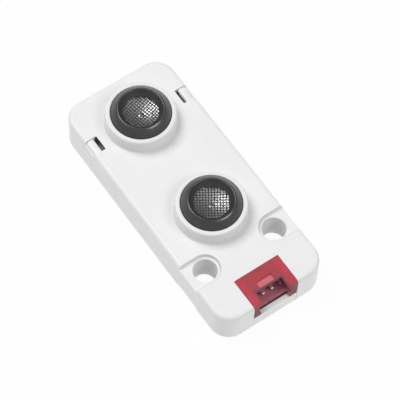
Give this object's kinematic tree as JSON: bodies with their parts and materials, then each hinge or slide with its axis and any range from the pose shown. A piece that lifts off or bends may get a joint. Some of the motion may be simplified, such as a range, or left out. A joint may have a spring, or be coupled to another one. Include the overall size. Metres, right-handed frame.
{
  "type": "ultrasonic distance sensor",
  "caption": "Ultrasonic distance sensor: two mesh-fronted transducers in a white snap-fit case with building-block holes and a red plug socket, for robots and construction kits.",
  "frame": {"origin": "centre of the case's back face", "axes": "+Z is the way the transducers look, +Y runs along the case away from the socket, and +X is to the right seen from the front with the socket at the bottom"},
  "size_m": [0.024, 0.056, 0.0125],
  "materials": {
    "white_plastic": "fine satin moulded ABS",
    "red_plastic": "translucent red moulded nylon",
    "black_plastic": "moulded",
    "board_laminate": "black solder mask",
    "black_anodised": "black anodised, satin",
    "wire_mesh": "black woven wire",
    "aluminium": "bright drawn sheet",
    "brass": "rolled",
    "piezo_ceramic": "silvered",
    "tinned_pin": "tin plated",
    "chip_black": "moulded epoxy",
    "resistor_black": "glazed",
    "capacitor_tan": "fired ceramic",
    "crystal_can": "nickel plated"
  },
  "bodies": {
    "base": {"bottom_shell": "white_plastic", "circuit_board": "board_laminate", "ranging_controller": "chip_black", "transducer_driver": "chip_black", "crystal": "crystal_can", "voltage_regulator": "chip_black", "resistor_1": "resistor_black", "capacitor_1": "capacitor_tan", "resistor_2": "resistor_black", "capacitor_2": "capacitor_tan", "resistor_3": "resistor_black", "capacitor_3": "capacitor_tan", "resistor_4": "resistor_black", "capacitor_4": "capacitor_tan", "resistor_5": "resistor_black", "capacitor_5": "capacitor_tan", "transmitter_can": "black_anodised", "transmitter_mesh": "wire_mesh", "transmitter_cone": "aluminium", "transmitter_bender_plate": "brass", "transmitter_piezo_disc": "piezo_ceramic", "transmitter_base": "black_plastic", "transmitter_pin_left": "tinned_pin", "transmitter_pin_right": "tinned_pin", "receiver_can": "black_anodised", "receiver_mesh": "wire_mesh", "receiver_cone": "aluminium", "receiver_bender_plate": "brass", "receiver_piezo_disc": "piezo_ceramic", "receiver_base": "black_plastic", "receiver_pin_left": "tinned_pin", "receiver_pin_right": "tinned_pin", "socket_housing": "red_plastic", "socket_pin_1": "tinned_pin", "socket_pin_2": "tinned_pin", "socket_pin_3": "tinned_pin", "socket_pin_4": "tinned_pin"},
    "cover": {"top_shell": "white_plastic", "hole_sleeve_left": "white_plastic", "hole_sleeve_right": "white_plastic"},
    "latch_left_arm": {"latch_left": "white_plastic"},
    "latch_right_arm": {"latch_right": "white_plastic"}
  },
  "joints": [
    {"name": "cover_lift", "type": "slide", "parent": "base", "child": "cover", "axis": [0, 0, 1], "range_m": [0, 0.02], "deforming": ["latch_left", "latch_right"]},
    {"name": "latch_left_flex", "type": "hinge", "parent": "base", "child": "latch_left_arm", "pos_m": [-0.01045, 0.0178, 0.0013], "axis": [0, 1, 0], "range_deg": [0, 6.2], "stiffness_Nm_per_rad": 0.1},
    {"name": "latch_right_flex", "type": "hinge", "parent": "base", "child": "latch_right_arm", "pos_m": [0.01045, 0.0178, 0.0013], "axis": [0, -1, 0], "range_deg": [0, 6.2], "stiffness_Nm_per_rad": 0.1}
  ]
}
